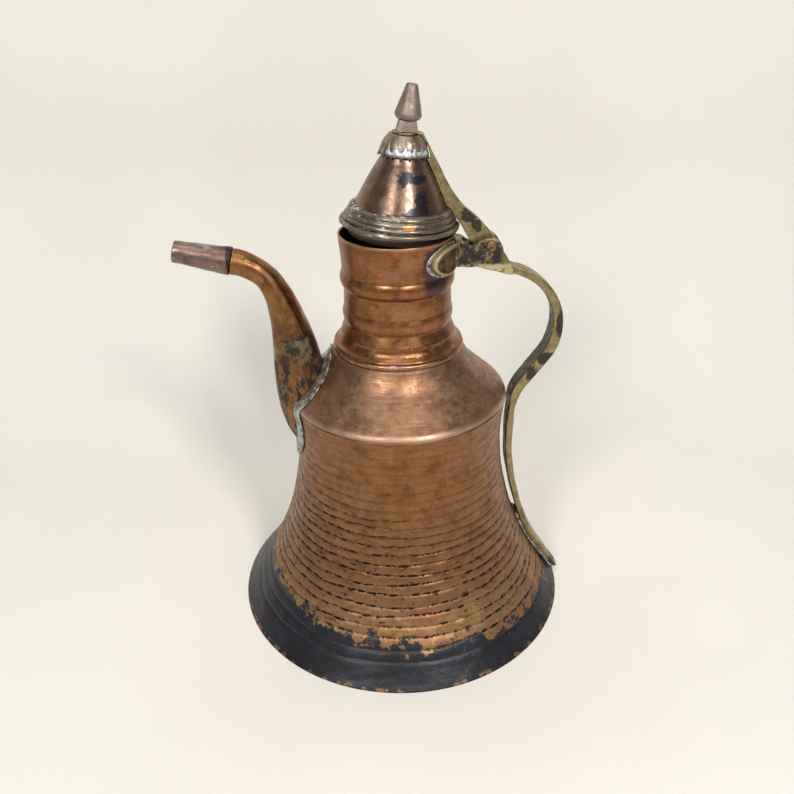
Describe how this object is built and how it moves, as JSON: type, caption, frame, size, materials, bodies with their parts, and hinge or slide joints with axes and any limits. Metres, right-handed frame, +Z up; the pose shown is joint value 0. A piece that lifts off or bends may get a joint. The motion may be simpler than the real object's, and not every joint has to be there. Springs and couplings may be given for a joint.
{
  "type": "ewer",
  "caption": "Copper ewer with a bell-shaped body, beaded neck, tapering bent spout, brass strap handle and a hinged conical lid with a petalled cap and knob.",
  "frame": {"origin": "middle of the foot, on the surface that the ewer stands on", "axes": "+Z up, +X toward the handle and the lid's hinge, -X toward the spout, +Y across"},
  "size_m": [0.2311, 0.21, 0.3177],
  "materials": {
    "bell_copper": "hammered and worn, soot near the foot",
    "shoulder_copper": "worn, fine level scratches",
    "neck_copper": "satin, bead highlights",
    "ring_copper": "bright worn copper",
    "spout_copper": "satin, dark seam",
    "sleeve_copper": "dull, silvery streaks",
    "solder": "dull grey solder",
    "hinge_brass": "black patina over brass",
    "handle_brass": "olive patina, dark inner face",
    "lid_copper": "satin, blue-black stains",
    "moulding_copper": "grey-green, dark grooves",
    "cap_copper": "dull grey-brown",
    "strap_brass": "olive patina",
    "finial_copper": "matte grey-brown"
  },
  "bodies": {
    "vessel": {"body_bell": "bell_copper", "base_plate": "bell_copper", "base_solder": "solder", "shoulder": "shoulder_copper", "neck": "neck_copper", "neck_ring": "ring_copper", "spout": "spout_copper", "spout_tip": "sleeve_copper", "spout_solder": "solder", "hinge_block": "hinge_brass", "saddle_solder": "solder", "hinge_pin": "hinge_brass", "handle": "handle_brass", "foot_solder": "solder"},
    "lid": {"lid_cone": "lid_copper", "lid_moulding": "moulding_copper", "lid_bezel": "lid_copper", "lid_cap": "cap_copper", "cap_solder": "solder", "lid_strap": "strap_brass", "finial_collar": "finial_copper", "finial_knob": "finial_copper", "finial_washer": "finial_copper", "finial_rivet": "finial_copper"}
  },
  "joints": [
    {"name": "lid_hinge", "type": "hinge", "parent": "vessel", "child": "lid", "pos_m": [0.0514, 0, 0.2335], "axis": [0, 1, 0], "range_deg": [-4.5, 105]}
  ]
}
